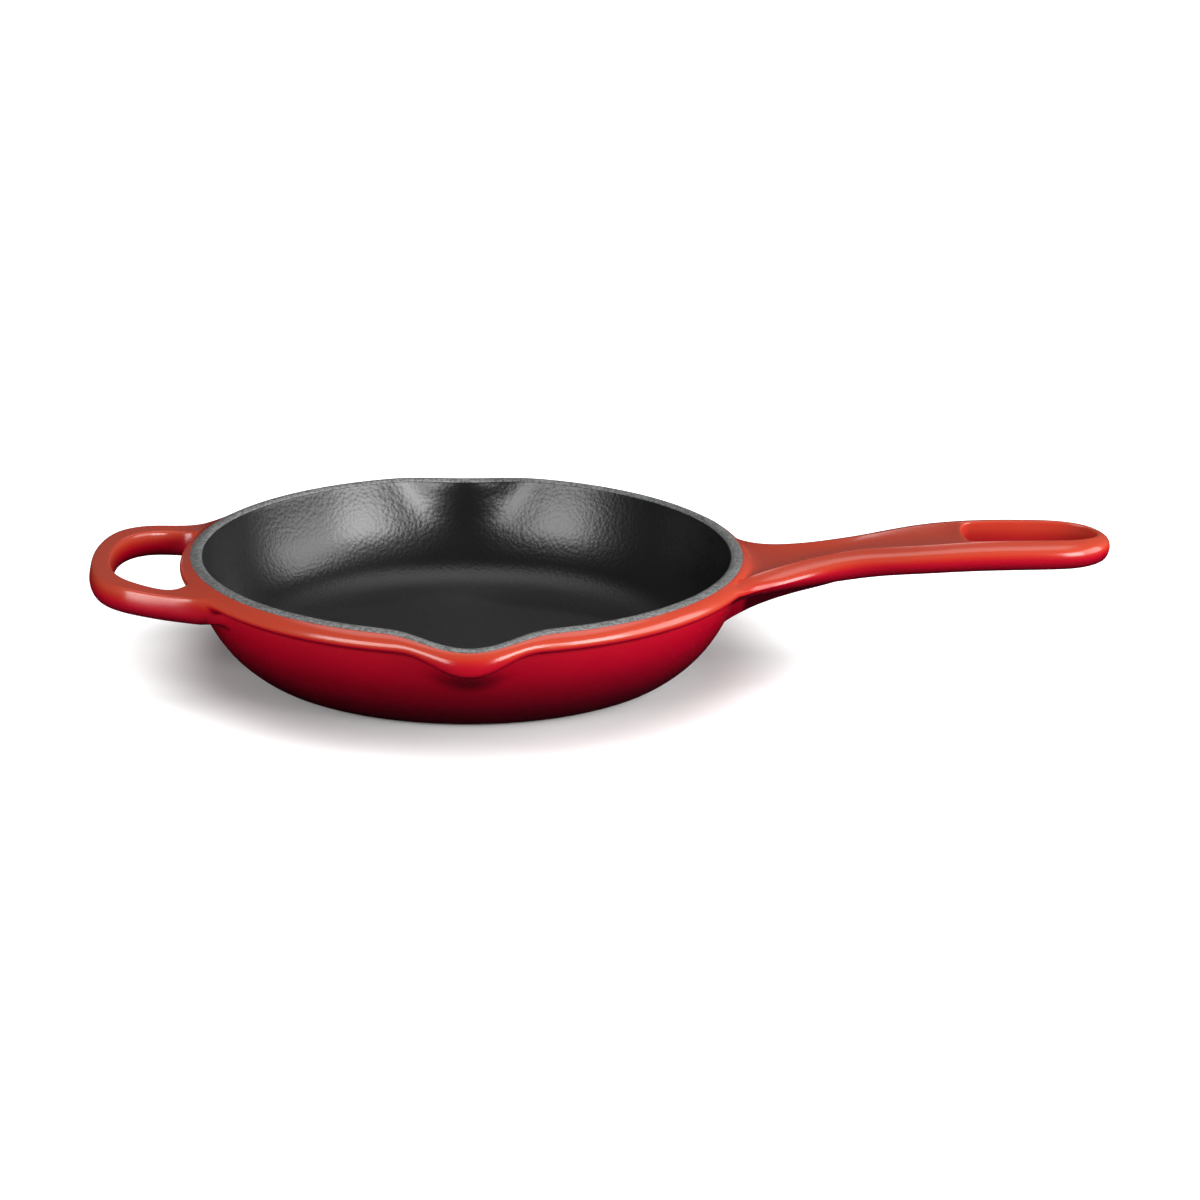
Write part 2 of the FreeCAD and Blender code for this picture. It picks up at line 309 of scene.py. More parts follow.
@dataclass(frozen=True)
class StudioPaper:
    """Pale seamless paper: matt, hardly any tooth; away from the pan it glows white by its own
    emission, a painted light that washes out the shadow there.
    """

    pale: str = "E4E1E1"
    bright: str = "E7E5E5"
    tooth: tuple[float, float] = (0.3, 0.7)     # noise at which it is all pale, all bright
    tooth_mm: float = 33.333    # real tooth is finer; drawn as slow clouds of brightness
    roughness: float = 0.9
    specular: float = 0.1
    painted_dark_reflection: str = "161616"        # what the gloss mirrors: a painted dark reflection, the paper shown dark to reflected rays
    bounce: str = "BCBCBC"      # what light scatters off on its way to the pan
    near: float = 0.1           # distance from the bowl's axis where the paper's painted glow sets in, m
    far: float = 0.17           # distance from which the paper glows full white with painted light, m

    def build(self) -> bpy.types.Material:
        """Make the finish.

        Returns:
            The material.
        """
        material, tree, shader = start_material("seamless_paper_white")
        place = node(tree, "ShaderNodeTexCoord")
        tooth = node(tree, "ShaderNodeTexNoise", Vector=place.outputs["Object"],
                     Scale=1.0 / (self.tooth_mm * MM))
        colour = node(tree, "ShaderNodeValToRGB", i0=tooth,
                      stops=list(zip(self.tooth, (self.pale, self.bright))))
        tree.links.new(colour.outputs["Color"], shader.inputs["Base Color"])
        shader.inputs["Roughness"].default_value = self.roughness
        shader.inputs["Specular IOR Level"].default_value = self.specular
        # painted light: the paper glows by emission, none near the bowl's axis, full strength
        # further out
        shader.inputs["Emission Color"].default_value = (1.0, 1.0, 1.0, 1.0)
        away = node(tree, "ShaderNodeVectorMath", {"operation": "LENGTH"},
                    i0=place.outputs["Object"])
        painted_glow = node(tree, "ShaderNodeMapRange", {"interpolation_type": "SMOOTHSTEP"},
                    Value=away.outputs["Value"], From_Min=self.near, From_Max=self.far,
                    To_Min=0.0, To_Max=1.0)
        tree.links.new(painted_glow.outputs[0], shader.inputs["Emission Strength"])
        # painted dark reflection: reflected rays see the paper dark grey, diffuse rays grey,
        # only the camera its pale face
        dark = node(tree, "ShaderNodeBsdfDiffuse", Color=linear(self.painted_dark_reflection))
        soft = node(tree, "ShaderNodeBsdfDiffuse", Color=linear(self.bounce))
        path = node(tree, "ShaderNodeLightPath")
        unseen = node(tree, "ShaderNodeMixShader", i0=path.outputs["Is Glossy Ray"],
                      i1=soft, i2=dark)
        seen = node(tree, "ShaderNodeMixShader", i0=path.outputs["Is Camera Ray"],
                    i1=unseen, i2=shader)
        side = node(tree, "ShaderNodeNewGeometry")
        clear = node(tree, "ShaderNodeBsdfTransparent")
        sheet = node(tree, "ShaderNodeMixShader", i0=side.outputs["Backfacing"],
                     i1=seen, i2=clear)
        tree.links.new(sheet.outputs[0], tree.nodes["Material Output"].inputs["Surface"])
        return material


# ---------------------------------------------------------------- cages


@dataclass(frozen=True)
class Ring:
    """One ring of a turned skin, and what a pouring spout does to it, in millimetres."""

    radius: float
    height: float
    push: float = 0.0       # how far the spout's middle moves outward
    drop: float = 0.0       # and how far down
    half: float = 30.0      # half width of the spout, along the rim


UNMOVED = Ring(0.0, 0.0)    # for points that no spout moves


@dataclass
class Cage:
    """A subdivision cage that grows point by point, kept in metres."""

    points: list[Vector] = field(default_factory=list)
    spouts: list[tuple[float, float, float]] = field(default_factory=list)  # SPOUT_MOVES
    sprays_and_shades: list[float] = field(default_factory=list)
    faces: list[tuple[int, ...]] = field(default_factory=list)
    sharp: set[tuple[int, int]] = field(default_factory=set)

    def add(self, x: float, y: float, z: float, ring: Ring = UNMOVED,
            spray_and_shade: float = 1.0) -> int:
        """Add a point in millimetres.

        Args:
            x: Distance along the long handle.
            y: Distance towards a spout.
            z: Height above the table.
            ring: The ring that says how a spout moves the point.
            spray_and_shade: How much of the orange coat reaches the point, less the painted
                shade laid on it.

        Returns:
            The point's number.
        """
        self.points.append(Vector((x, y, z)) * MM)
        self.spouts.append((ring.push * MM, ring.drop * MM, ring.half * MM))
        self.sprays_and_shades.append(spray_and_shade)
        return len(self.points) - 1

    def turn(self, ring: Ring) -> list[int]:
        """Add a ring of points round the bowl and return their numbers."""
        return [self.add(ring.radius * math.cos(column_angle(k)),
                         ring.radius * math.sin(column_angle(k)), ring.height, ring)
                for k in range(COLUMNS)]

    def bridge(self, one: Sequence[int], other: Sequence[int],
               skip: Callable[[int], bool] = lambda k: False, closed: bool = True) -> None:
        """Join two rows of points with quads.

        Args:
            one: The first row.
            other: The second row, as long as the first.
            skip: Says which quads are left out.
            closed: Whether the rows close on themselves.
        """
        count = len(one)
        for k in range(count if closed else count - 1):
            if not skip(k):
                n = (k + 1) % count
                self.faces.append((one[k], other[k], other[n], one[n]))

    def fan(self, row: Sequence[int], height: float, start: bool) -> None:
        """Close a flat ring with a fan to the axis.

        Args:
            row: The ring's points.
            height: Height of the middle point, mm.
            start: True where the skin starts here, False where it ends.
        """
        middle = self.add(0.0, 0.0, height)
        for k, point in enumerate(row):
            after = row[(k + 1) % len(row)]
            self.faces.append((middle, point, after) if start else (point, middle, after))

    def crease(self, row: Sequence[int]) -> None:
        """Keep the edges along a closed row sharp."""
        for k, point in enumerate(row):
            self.sharp.add(tuple(sorted((point, row[(k + 1) % len(row)]))))

    def mesh(self, name: str) -> bpy.types.Mesh:
        """Turn the cage into a mesh with its creases and spout attributes.

        Args:
            name: Name of the new mesh.

        Returns:
            The mesh.
        """
        made = bpy.data.meshes.new(name)
        made.from_pydata([tuple(p) for p in self.points], [], self.faces)
        for i, label in enumerate(SPOUT_MOVES):
            layer = made.attributes.new(label, "FLOAT", "POINT")
            layer.data.foreach_set("value", [s[i] for s in self.spouts])
        layer = made.attributes.new("spray_and_shade", "FLOAT", "POINT")
        layer.data.foreach_set("value", self.sprays_and_shades)
        crease = made.attributes.new("crease_edge", "FLOAT", "EDGE")
        crease.data.foreach_set("value", [
            1.0 if tuple(sorted(e.vertices)) in self.sharp else 0.0 for e in made.edges])
        return made


class SpoutForm:
    """Geometry nodes that press the two pouring spouts into a turned skin."""

    def __init__(self) -> None:
        """Build the node tree."""
        self.tree = bpy.data.node_groups.new("spout_form", "GeometryNodeTree")
        face = self.tree.interface
        face.new_socket("Geometry", in_out="INPUT", socket_type="NodeSocketGeometry")
        self.arc = face.new_socket("Spout Radius", in_out="INPUT",
                                   socket_type="NodeSocketFloat").identifier
        self.finish = face.new_socket("Finish", in_out="INPUT",
                                      socket_type="NodeSocketMaterial").identifier
        face.new_socket("Geometry", in_out="OUTPUT", socket_type="NodeSocketGeometry")
        self._wire()

    def _wire(self) -> None:
        """Lay out the nodes: a squared cosine bump round each spout's middle."""
        tree, maths = self.tree, "ShaderNodeMath"
        source = node(tree, "NodeGroupInput")
        push, drop, half = [node(tree, "GeometryNodeInputNamedAttribute",
                                 {"data_type": "FLOAT"}, Name=label).outputs["Attribute"]
                            for label in SPOUT_MOVES]
        place = node(tree, "ShaderNodeSeparateXYZ",
                     i0=node(tree, "GeometryNodeInputPosition"))
        angle = node(tree, maths, {"operation": "ARCTAN2"},
                     i0=place.outputs["Y"], i1=place.outputs["X"])
        mirrored = node(tree, maths, {"operation": "ABSOLUTE"}, i0=angle)
        offset = node(tree, maths, {"operation": "SUBTRACT"}, i0=mirrored, i1=math.pi / 2)
        away = node(tree, maths, {"operation": "ABSOLUTE"}, i0=offset)
        arc = node(tree, maths, {"operation": "MULTIPLY"},
                   i0=away, i1=source.outputs["Spout Radius"])
        share = node(tree, maths, {"operation": "DIVIDE"}, i0=arc, i1=half)
        within = node(tree, maths, {"operation": "MINIMUM"}, i0=share, i1=1.0)
        phase = node(tree, maths, {"operation": "MULTIPLY"}, i0=within, i1=math.pi / 2)
        cosine = node(tree, maths, {"operation": "COSINE"}, i0=phase)
        bump = node(tree, maths, {"operation": "MULTIPLY"}, i0=cosine, i1=cosine)
        outward = node(tree, maths, {"operation": "MULTIPLY"}, i0=bump, i1=push)
        downward = node(tree, maths, {"operation": "MULTIPLY"}, i0=bump, i1=drop)
        east = node(tree, maths, {"operation": "COSINE"}, i0=angle)
        north = node(tree, maths, {"operation": "SINE"}, i0=angle)
        shift = node(tree, "ShaderNodeCombineXYZ",
                     X=node(tree, maths, {"operation": "MULTIPLY"}, i0=outward, i1=east),
                     Y=node(tree, maths, {"operation": "MULTIPLY"}, i0=outward, i1=north),
                     Z=node(tree, maths, {"operation": "MULTIPLY"}, i0=downward, i1=-1.0))
        moved = node(tree, "GeometryNodeSetPosition",
                     Geometry=source.outputs["Geometry"], Offset=shift)
        smooth = node(tree, "GeometryNodeSetShadeSmooth", Geometry=moved)
        real = node(tree, "GeometryNodeRealizeInstances", Geometry=smooth)
        dressed = node(tree, "GeometryNodeSetMaterial", Geometry=real,
                       Material=source.outputs["Finish"])
        node(tree, "NodeGroupOutput", Geometry=dressed)

    def press(self, cage: Cage, name: str, finish: bpy.types.Material) -> bpy.types.Object:
        """Press the spouts into a cage and round it off.

        Args:
            cage: The turned cage.
            name: Name of the finished piece.
            finish: Its material.

        Returns:
            The finished object, linked to the scene.
        """
        rough = bpy.data.objects.new(name + "_cage", cage.mesh(name + "_cage"))
        bpy.context.scene.collection.objects.link(rough)
        form = rough.modifiers.new("spout_form", "NODES")
        form.node_group = self.tree
        form[self.arc] = SPOUT_ARC * MM
        form[self.finish] = finish
        graph = bpy.context.evaluated_depsgraph_get()
        mesh = bpy.data.meshes.new_from_object(rough.evaluated_get(graph),
                                               preserve_all_data_layers=True,
                                               depsgraph=graph)
        mesh.name = name
        bpy.data.objects.remove(rough)
        piece = bpy.data.objects.new(name, mesh)
        bpy.context.scene.collection.objects.link(piece)
        rounding = piece.modifiers.new("rounding", "SUBSURF")
        rounding.levels = ROUNDING
        rounding.render_levels = ROUNDING
        return piece


# ---------------------------------------------------------------- bowl


@dataclass
class Bowl:
    """Rings of the bowl's skins, from the rim outward and down, in millimetres."""

    outside: tuple[Ring, ...] = (
        Ring(114.3, 45.25, 9.0, 3.7, 34.0), Ring(115.9, 44.5, 9.0, 3.9, 33.5),
        Ring(117.3, 43.6, 9.0, 4.3, 32.5), Ring(118.3, 42.4, 8.8, 5.0, 31.0),
        Ring(118.75, 41.0, 8.5, 5.8, 29.5), Ring(118.6, 39.7, 8.1, 6.7, 28.0),
        Ring(117.9, 38.75, 7.6, 7.3, 27.0), Ring(116.7, 38.4, 6.6, 7.5, 26.5),
        Ring(115.4, 38.3, 5.6, 7.4, 26.0), Ring(114.6, 37.6, 5.0, 7.1, 26.0),
        Ring(114.15, 36.0, 4.4, 6.6, 26.0), Ring(113.6, 34.2, 3.8, 5.9, 26.0),
        Ring(112.6, 31.3, 2.9, 4.6, 26.0), Ring(111.2, 28.0, 1.8, 3.2, 25.0),
        Ring(109.4, 23.9, 0.8, 1.5, 24.0), Ring(107.3, 20.0, 0.3, 0.5, 22.0),
        Ring(104.6, 15.4), Ring(101.3, 11.0), Ring(97.9, 7.3), Ring(94.4, 4.3),
        Ring(91.6, 2.2), Ring(89.3, 0.75), Ring(87.6, 0.12), Ring(85.5, 0.0),
        Ring(70.0, 0.0), Ring(45.0, 0.0), Ring(20.0, 0.0),
    )
    crown: tuple[Ring, ...] = (
        Ring(109.5, 45.1, 9.0, 4.0, 33.0), Ring(109.7, 45.65, 9.0, 3.9, 33.2),
        Ring(110.3, 46.0, 9.0, 3.9, 33.5), Ring(111.2, 46.2, 9.0, 3.8, 34.0),
        Ring(112.1, 46.15, 9.0, 3.8, 34.0), Ring(113.0, 45.95, 9.0, 3.7, 34.0),
        Ring(113.7, 45.65, 9.0, 3.7, 34.0), Ring(114.3, 45.25, 9.0, 3.7, 34.0),
    )
    inside: tuple[Ring, ...] = (
        Ring(109.5, 45.1, 9.0, 4.0, 33.0), Ring(109.3, 44.2, 8.7, 3.9, 32.5),
        Ring(108.95, 42.4, 8.0, 3.8, 32.0), Ring(108.2, 38.6, 6.0, 3.2, 30.0),
        Ring(107.2, 34.4, 4.2, 2.5, 29.0), Ring(105.9, 29.8, 2.5, 1.5, 27.0),
        Ring(104.1, 24.4, 1.1, 0.7, 26.0), Ring(101.4, 19.0, 0.3, 0.2, 24.0),
        Ring(97.6, 13.2), Ring(93.2, 8.9), Ring(88.3, 6.1), Ring(83.6, 4.8),
        Ring(79.0, 4.5), Ring(64.0, 4.5), Ring(42.0, 4.5), Ring(18.0, 4.5),
    )
    under_rim: tuple[Ring, ...] = (     # iron below the ground coat, out of sight
        Ring(113.4, 44.1, 9.0, 3.7, 34.0), Ring(112.0, 43.9, 9.0, 3.8, 34.0),
    )
    under_crown: tuple[Ring, ...] = (   # underside of the ground coat
        Ring(113.3, 44.6, 9.0, 3.7, 34.0), Ring(112.0, 44.9, 9.0, 3.8, 34.0),
        Ring(110.6, 44.6, 9.0, 3.9, 33.5),
    )
    iron_gap: float = 1.2       # from the inside wall to the iron under it
    enamel_gap: float = 0.6     # from the inside wall to the enamel's back

    def backing(self, gap: float) -> list[Ring]:
        """Offset the inside wall into the iron.

        Args:
            gap: Distance behind the inside wall, mm.

        Returns:
            The offset rings, from under the rim down to the floor.
        """
        rings = self.inside
        made = []
        for before, ring, after in zip(rings, rings[1:], rings[2:-1]):
            along = Vector((after.radius - before.radius, after.height - before.height))
            along.normalize()
            made.append(Ring(ring.radius - along.y * gap, ring.height + along.x * gap,
                             ring.push, ring.drop, ring.half))
        return made

    def casting(self) -> tuple[Cage, list[list[int]]]:
        """Start the iron body's cage: outside, and a plain lining under the coats.

        Returns:
            The cage, and the point numbers of each outside ring.
        """
        cage = Cage()
        lining = list(self.under_rim) + self.backing(self.iron_gap)
        hidden = [cage.turn(r) for r in reversed(lining)]
        cage.fan(hidden[0], lining[-1].height, True)
        for one, other in zip(hidden, hidden[1:]):
            cage.bridge(one, other)
        grid = [cage.turn(r) for r in self.outside]
        cage.bridge(hidden[-1], grid[0])
        cage.crease(grid[0])
        return cage, grid

    def skin(self, cage: Cage, grid: list[list[int]], holes: Callable[[int, int], bool]) -> None:
        """Face the outside rings and close the underside.

        Args:
            cage: The casting's cage.
            grid: Point numbers of each outside ring.
            holes: Says whether the quad below a ring, at a column, is left open.
        """
        for row, (one, other) in enumerate(zip(grid, grid[1:])):
            cage.bridge(one, other, lambda k, row=row: holes(row, k))
        cage.fan(grid[-1], 0.0, False)

    def rim_cage(self) -> Cage:
        """Shape the ground coat over the rim.

        Returns:
            Its cage, closed underneath.
        """
        cage = Cage()
        rows = [cage.turn(r) for r in self.crown + self.under_crown]
        for one, other in zip(rows, rows[1:] + rows[:1]):
            cage.bridge(one, other)
        cage.crease(rows[0])
        cage.crease(rows[len(self.crown) - 1])
        return cage

    def lining_cage(self) -> Cage:
        """Shape the interior enamel.

        Returns:
            Its cage, closed underneath.
        """
        cage = Cage()
        rows = [cage.turn(r) for r in reversed(self.inside)]
        cage.fan(rows[0], self.inside[-1].height, True)
        back = self.backing(self.enamel_gap)
        rows += [cage.turn(r) for r in back]
        for one, other in zip(rows, rows[1:]):
            cage.bridge(one, other)
        cage.fan(rows[-1], back[-1].height, False)
        cage.crease(rows[len(self.inside) - 1])
        return cage


# ---------------------------------------------------------------- long handle


@dataclass(frozen=True)
class Station:
    """One section across the long handle, in millimetres."""

    centre: float       # along the handle, on its middle line
    reach: float        # along the handle, at its side
    half: float         # half width at its side
    top: float          # height of the side ridges
    bottom: float       # height of the underside
    dish: float         # depth of the dished top
    settled: float      # 0 where the section is still the rim band, 1 on the shaft
    keel: float         # half width of the rib, or of the flat underside
    low: float          # lowest height of the rib


@dataclass(frozen=True)
class Rail:
    """One section across a bar that runs round an opening, in millimetres."""

    outer: tuple[float, float]      # on the side away from the opening
    inner: tuple[float, float]      # on the opening's side
    top: float
    bottom: float


@dataclass
class LongHandle:
    """Long handle: flared root, dished shaft, rib below, and a slotted end.

    A section's loop of points starts at the ridge on the -Y side, and runs over the top,
    down the +Y side, along the underside and up the -Y side.
    """

    spread: int = 5                  # root's columns each side of the middle
    rows: tuple[int, int] = (1, 11)  # outside rings at the root's top and side bottom
    keel_row: int = 16               # outside ring at the rib's foot
    stations: tuple[Station, ...] = (
        Station(117.2, 111.6, 41.6, 43.3, 34.1, 0.3, 0.15, 8.0, 21.0),
        Station(118.6, 113.6, 38.1, 42.7, 34.0, 0.5, 0.35, 7.9, 21.6),
        Station(120.3, 116.2, 34.6, 42.4, 33.9, 0.7, 0.55, 7.6, 22.4),
        Station(122.6, 119.5, 31.2, 42.4, 33.9, 0.9, 0.75, 7.3, 23.3),
        Station(125.8, 124.0, 27.8, 42.7, 34.0, 1.0, 0.90, 7.0, 24.6),
        Station(130.5, 129.8, 24.5, 43.3, 34.2, 1.1, 1.0, 6.7, 26.3),
        Station(137.2, 136.8, 21.5, 44.5, 34.6, 1.2, 1.0, 6.6, 28.4),
        Station(145.5, 144.8, 19.1, 46.0, 35.2, 1.2, 1.0, 6.8, 30.7),
        Station(153.5, 153.0, 17.7, 47.7, 36.1, 1.2, 1.0, 7.4, 33.3),
        Station(161.2, 161.2, 17.4, 49.1, 37.3, 1.2, 1.0, 8.4, 36.5),
        Station(169.0, 169.0, 18.6, 50.3, 38.7, 1.2, 1.0, 10.2, 38.7),
        Station(177.0, 177.0, 20.6, 51.3, 39.9, 1.2, 1.0, 12.4, 39.9),
        Station(185.5, 185.5, 22.4, 52.3, 40.8, 1.2, 1.0, 14.6, 40.8),
        Station(194.0, 194.0, 23.5, 53.1, 41.6, 1.1, 1.0, 16.2, 41.6),
        Station(201.0, 201.5, 23.8, 53.7, 42.1, 0.9, 1.0, 16.8, 42.1),
    )
    rails: tuple[Rail, ...] = (
        Rail((208.5, 23.9), (207.6, 13.2), 54.1, 42.4),
        Rail((213.0, 23.9), (211.6, 14.1), 54.3, 42.6),
        Rail((221.0, 23.8), (220.4, 14.2), 54.55, 42.8),
        Rail((231.0, 23.6), (230.4, 14.1), 54.6, 42.95),
        Rail((240.5, 23.1), (239.4, 13.9), 54.6, 43.0),
        Rail((248.6, 22.0), (246.2, 13.4), 54.5, 43.0),
        Rail((255.0, 19.7), (251.6, 12.1), 54.3, 43.05),
        Rail((260.4, 15.9), (256.3, 9.8), 54.1, 43.2),
        Rail((264.4, 10.9), (259.7, 6.7), 53.8, 43.35),
        Rail((266.9, 5.5), (261.4, 3.4), 53.6, 43.45),
        Rail((267.7, 0.0), (262.0, 0.0), 53.5, 43.5),
    )
    slot_start: float = 205.4        # the slot's end towards the bowl, on the middle line
    slot_reach: int = 3              # points from that end's middle to its corner
    wall_steps: tuple[float, ...] = (0.09, 0.5, 0.9)        # shares of the slot wall's height
    slot_wall_shade: tuple[float, ...] = (0.6, 0.78, 0.96)      # painted shade down the slot's wall: tone at those heights
    slot_foot_shade: float = 0.55         # painted shade at the foot of the slot's end by the bowl
    crest: float = 8.4               # how far in from the side the ridge stands, mm
    lip: float = 1.5                 # flat kept between the ridge and the slot, mm
    keel_fullness: float = 0.6       # below 1, the rib's foot is fuller than an ellipse
    shaft_tops: tuple[float, ...] = (0.0, 0.3, 0.6, 0.9, 0.955, 1.0)
    # tone down the side from the ridge to the underside: thinner coat and painted shade towards
    # the underside
    sprays_and_shades: tuple[float, ...] = (1.0, 1.0, 0.97, 0.8, 0.62, 0.46, 0.33, 0.22, 0.14, 0.1)

    def open(self, row: int, column: int) -> bool:
        """Say whether the root passes through a quad of the bowl's outside.

        Args:
            row: Number of the ring above the quad.
            column: Number of the quad's first column.

        Returns:
            True where the quad is left out.
        """
        column = (column + COLUMNS // 2) % COLUMNS - COLUMNS // 2
        root = self.rows[0] <= row < self.rows[1] and -self.spread <= column < self.spread
        rib = self.rows[1] <= row < self.keel_row and -1 <= column < 1
        return root or rib

    def shaft_side(self, top: float, bottom: float) -> list[tuple[float, float]]:
        """Shape the side of the shaft.

        Args:
            top: Height of the ridge.
            bottom: Height of the underside.

        Returns:
            Inset and height of each point from the ridge down to the underside.
        """
        return [(-self.crest, top), (-4.8, top - 0.85), (-2.3, top - 1.7), (-0.8, top - 2.7),
                (-0.1, top - 4.1), (0.05, mix(top, bottom, 0.52)), (-0.15, bottom + 4.1),
                (-0.8, bottom + 2.5), (-2.1, bottom + 1.1), (-4.0, bottom + 0.3),
                (-6.4, bottom)]

    def root_side(self, bowl: Bowl, top: float, bottom: float) -> list[tuple[float, float]]:
        """Shape the side at the root, which is the rim band's own, stretched.

        Args:
            bowl: The bowl.
            top: Height of the ridge.
            bottom: Height of the underside.

        Returns:
            Inset and height of each point from the ridge down to the underside.
        """
        rings = bowl.outside[self.rows[0]:self.rows[1] + 1]
        widest = max(r.radius for r in rings)
        high, low = rings[0].height, rings[-1].height
        return [(r.radius - widest, mix(bottom, top, (r.height - low) / (high - low)))
                for r in rings]

    def edge_normal(self, place: int, first: Vector) -> Vector:
        """Return the outward normal of the handle's outline at a station.

        Args:
            place: The station's number.
            first: The outline's point on the rim band.

        Returns:
            The normal, a unit vector in the plane of the table.
        """
        line = [first] + [Vector((s.reach, s.half)) for s in self.stations]
        line.append(Vector(self.rails[0].outer))
        along = (line[place + 2] - line[place]).normalized()
        return Vector((-along.y, along.x))

    def root_loop(self, grid: list[list[int]]) -> list[int]:
        """Find the loop of the bowl's points that the handle grows from.

        Args:
            grid: Point numbers of the bowl's outside rings.

        Returns:
            The loop's point numbers, in a section's order.
        """
        up, down = self.rows
        n, keel = self.spread, self.keel_row
        loop = [grid[up][k] for k in range(-n, n + 1)]
        loop += [grid[r][n] for r in range(up + 1, down + 1)]
        loop += [grid[down][k] for k in range(n - 1, 0, -1)]
        loop += [grid[r][1] for r in range(down + 1, keel + 1)]
        loop += [grid[keel][0]]
        loop += [grid[r][-1] for r in range(keel, down, -1)]
        loop += [grid[down][-k] for k in range(1, n)]
        loop += [grid[r][-n] for r in range(down, up, -1)]
        return loop

    def half_section(self, s: Station, side: list[tuple[float, float]], normal: Vector,
                     ) -> tuple[list[Vector], list[Vector], list[Vector]]:
        """Work out one half of a section.

        Args:
            s: The station.
            side: Inset and height of each side point.
            normal: Outward normal of the outline.

        Returns:
            Points from the middle to the ridge, down the side, and along the underside
            to the middle.
        """
        edge = Vector((s.reach, s.half))
        flank = [Vector((*(edge + normal * inset), z)) for inset, z in side]
        ridge, foot = flank[0], flank[-1]
        wide = math.sin(column_angle(self.spread))
        tops = []
        for j, shaft in enumerate(self.shaft_tops):
            f = mix(math.sin(column_angle(j)) / wide, shaft, s.settled)
            tops.append(Vector((mix(s.centre, ridge.x, f * f), f * ridge.y,
                                ridge.z - s.dish * (1 - f * f))))
        tops[-1] = ridge
        unders = []
        deep = s.bottom - s.low
        for i in range(1, self.spread):
            y = mix(foot.y, s.keel, i / (self.spread - 1))
            unders.append(Vector((mix(s.centre, foot.x, (y / foot.y) ** 2), y, s.bottom)))
        fall = self.keel_row - self.rows[1]
        for i in range(1, fall + 2):
            a = math.pi / 2 * i / (fall + 1)
            y = s.keel * max(math.cos(a), 0.0) ** self.keel_fullness
            unders.append(Vector((s.centre, y, s.bottom - deep * math.sin(a))))
        return tops, flank[1:], unders

    def section(self, cage: Cage, tops: list[Vector], flank: list[Vector],
                unders: list[Vector]) -> list[int]:
        """Add a whole section, mirroring its half.

        Args:
            cage: The casting's cage.
            tops: Points from the middle of the top to the ridge.
            flank: Points down the side.
            unders: Points along the underside to its middle.

        Returns:
            The section's loop of point numbers.
        """
        half = [(p, 1.0) for p in tops] + list(zip(flank, self.sprays_and_shades))
        half += [(p, self.sprays_and_shades[-1]) for p in unders]
        ring = [self._flip(p) for p in reversed(half[1:len(tops)])] + half
        ring += [self._flip(p) for p in reversed(half[len(tops):-1])]
        return [cage.add(*p, spray_and_shade=spray_and_shade) for p, spray_and_shade in ring]

    @staticmethod
    def _flip(point: tuple[Vector, float]) -> tuple[Vector, float]:
        """Return a section's point mirrored to the handle's other side."""
        place, spray_and_shade = point
        return Vector((place.x, -place.y, place.z)), spray_and_shade

    def slot_section(self, cage: Cage) -> list[int]:
        """Add the section where the slot starts.

        Args:
            cage: The casting's cage.

        Returns:
            The section's loop of point numbers.
        """
        rail = self.rails[0]
        loop = self.rail_points(rail)
        lip, flank, foot = loop[:3], loop[3:13], loop[13:20]
        corner = Vector(rail.inner)
        tops, unders = [], []
        for f in (0.0, 1 / 3, 2 / 3):
            x = mix(self.slot_start, corner.x, f * f)
            tops.append(Vector((x, f * corner.y, rail.top)))
            unders.append(Vector((x, f * corner.y, rail.bottom)))
        return self.section(cage, tops + lip, flank, foot + list(reversed(unders)))

    def rail_points(self, rail: Rail) -> list[Vector]:
        """Shape a rail's section.

        Args:
            rail: The rail.

        Returns:
            Points from the slot's edge outward over the top, down the side, in along the
            underside, and up the slot's wall.
        """
        outer, inner = Vector(rail.outer), Vector(rail.inner)
        wide = (outer - inner).length
        out = (outer - inner).normalized()
        squeeze = min(1.0, (wide - self.lip) / self.crest)
        side = [Vector((*(outer + out * inset * squeeze), z))
                for inset, z in self.shaft_side(rail.top, rail.bottom)]
        points = [Vector((*inner, rail.top - 0.12)), Vector((*(inner + out * 0.75), rail.top))]
        points += side
        foot = Vector((side[-1].x, side[-1].y))
        for i in range(1, 8):
            points.append(Vector((*foot.lerp(inner, i / 7), rail.bottom)))
        points += [Vector((*inner, mix(rail.bottom, rail.top, s))) for s in self.wall_steps]
        return points

    def graft(self, cage: Cage, grid: list[list[int]], bowl: Bowl) -> None:
        """Grow the handle out of the bowl.

        Args:
            cage: The casting's cage.
            grid: Point numbers of the bowl's outside rings.
            bowl: The bowl.
        """
        angle = column_angle(self.spread)
        widest = max(r.radius for r in bowl.outside)
        first = Vector((widest * math.cos(angle), widest * math.sin(angle)))
        loop = self.root_loop(grid)
        for place, s in enumerate(self.stations):
            root = self.root_side(bowl, s.top, s.bottom)
            shaft = self.shaft_side(s.top, s.bottom)
            side = [(mix(a[0], b[0], s.settled), mix(a[1], b[1], s.settled))
                    for a, b in zip(root, shaft)]
            after = self.section(cage, *self.half_section(s, side,
                                                          self.edge_normal(place, first)))
            cage.bridge(loop, after)
            loop = after
        start = self.slot_section(cage)
        cage.bridge(loop, start)
        self.slotted_end(cage, start)

